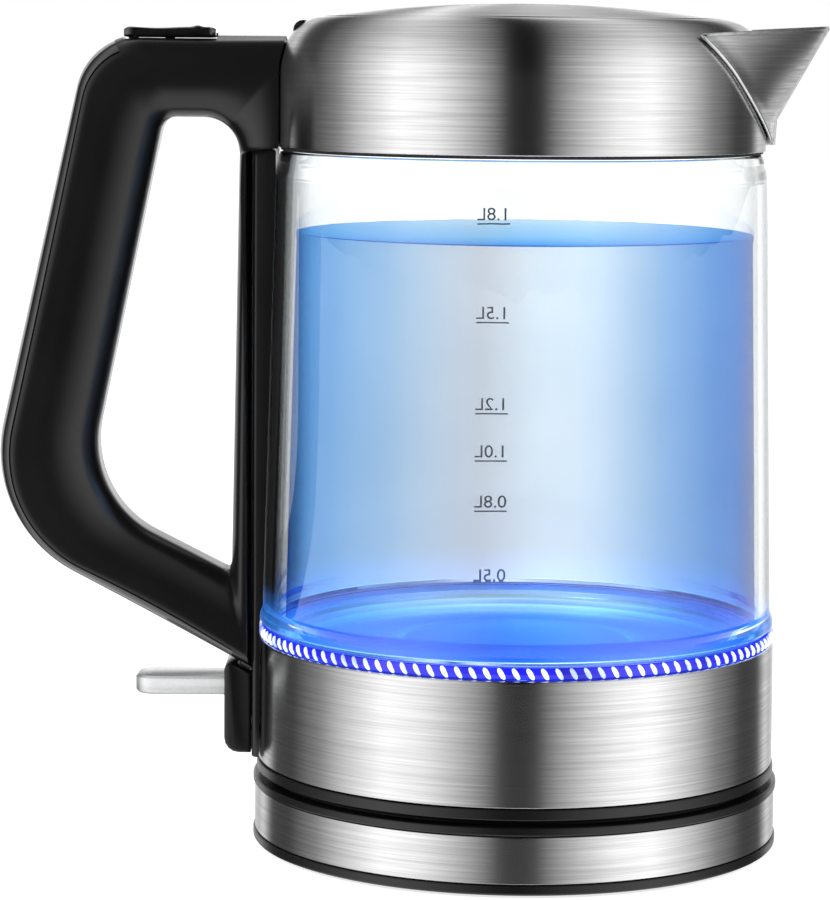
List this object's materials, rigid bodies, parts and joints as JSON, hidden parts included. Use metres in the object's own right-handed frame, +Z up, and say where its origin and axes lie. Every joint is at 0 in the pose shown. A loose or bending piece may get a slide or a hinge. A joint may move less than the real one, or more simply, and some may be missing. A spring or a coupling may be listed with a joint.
{
  "type": "electric kettle",
  "caption": "Cordless electric kettle with a tapered glass jug, brushed steel collar and housing, folded steel spout, black loop handle with switch lever and a round swivelling power base.",
  "frame": {"origin": "on the vertical axis of the jug and base, at the surface the kettle stands on (the claimed mount face is 0.9 mm above it)", "axes": "+Z up, handle towards -X, spout towards +X, level scale and cord outlet on the +Y side"},
  "size_m": [0.2448, 0.1576, 0.2502],
  "materials": {
    "satin_black": "satin moulded",
    "gloss_black": "high gloss moulded",
    "brushed_steel": "circumferentially brushed",
    "bright_steel": "bright drawn",
    "clear_glass": "clear",
    "clear_plastic": "clear moulded",
    "silicone": "translucent moulded",
    "black_rubber": "matt moulded",
    "brass": "stamped",
    "cast_aluminium": "as cast",
    "circuit_board": "solder mask",
    "blue_led": "clear blue lens, lit"
  },
  "bodies": {
    "power_base": {"base_bottom": "satin_black", "base_band": "brushed_steel", "base_top": "satin_black", "base_socket": "satin_black", "contact_outer": "brass", "contact_inner": "brass", "cord_gland": "black_rubber", "foot_1": "black_rubber", "foot_2": "black_rubber", "foot_3": "black_rubber", "foot_4": "black_rubber", "base_screw_1": "bright_steel", "base_screw_2": "bright_steel", "base_screw_3": "bright_steel"},
    "connector": {"jug_connector": "satin_black", "pin_outer": "brass", "pin_inner": "brass", "pin_earth": "brass"},
    "jug": {"jug_bottom": "satin_black", "control_unit": "satin_black", "collar_liner": "satin_black", "filter_frame": "satin_black", "handle_shell": "satin_black", "handle_spine": "satin_black", "switch_housing": "satin_black", "handle_back_strip": "gloss_black", "lower_housing": "brushed_steel", "collar": "brushed_steel", "spout": "brushed_steel", "heating_plate": "bright_steel", "filter_mesh": "bright_steel", "switch_pivot": "bright_steel", "button_spring": "bright_steel", "hinge_pin": "bright_steel", "lid_spring": "bright_steel", "handle_screw_1": "bright_steel", "handle_screw_2": "bright_steel", "handle_screw_3": "bright_steel", "glass_jug": "clear_glass", "light_ring": "clear_plastic", "lower_seal": "silicone", "steam_tube": "silicone", "upper_seal": "black_rubber", "steam_switch": "brass", "heating_element": "cast_aluminium", "led_board": "circuit_board", "led_1": "blue_led", "led_2": "blue_led", "led_3": "blue_led", "led_4": "blue_led", "led_5": "blue_led", "led_6": "blue_led"},
    "lid": {"lid_base": "satin_black", "lid_cap": "brushed_steel", "lid_seal": "silicone", "lid_catch": "bright_steel"},
    "button": {"release_button": "gloss_black"},
    "latch": {"latch_slider": "satin_black"},
    "lever": {"switch_lever": "clear_plastic"}
  },
  "joints": [
    {"name": "jug_lift", "type": "slide", "parent": "power_base", "child": "connector", "axis": [0, 0, 1], "range_m": [0, 0.06]},
    {"name": "base_swivel", "type": "hinge", "parent": "connector", "child": "jug", "pos_m": [0, 0, 0.03], "axis": [0, 0, 1], "continuous": true},
    {"name": "lid_hinge", "type": "hinge", "parent": "jug", "child": "lid", "pos_m": [-0.0645, 0, 0.242], "axis": [0, -1, 0], "range_deg": [0, 80]},
    {"name": "button_press", "type": "slide", "parent": "jug", "child": "button", "axis": [0, 0, -1], "range_m": [0, 0.0025], "stiffness_N_per_m": 600, "springref_m": -0.002, "deforming": ["button_spring"]},
    {"name": "latch_slide", "type": "slide", "parent": "jug", "child": "latch", "axis": [-1, 0, 0], "range_m": [0, 0.0025]},
    {"name": "lever_flip", "type": "hinge", "parent": "jug", "child": "lever", "pos_m": [-0.0826, 0, 0.0467], "axis": [0, 1, 0], "range_deg": [0, 12]}
  ],
  "couplings": [
    {"joint": "latch_slide", "follows": "button_press", "ratio": 1}
  ]
}
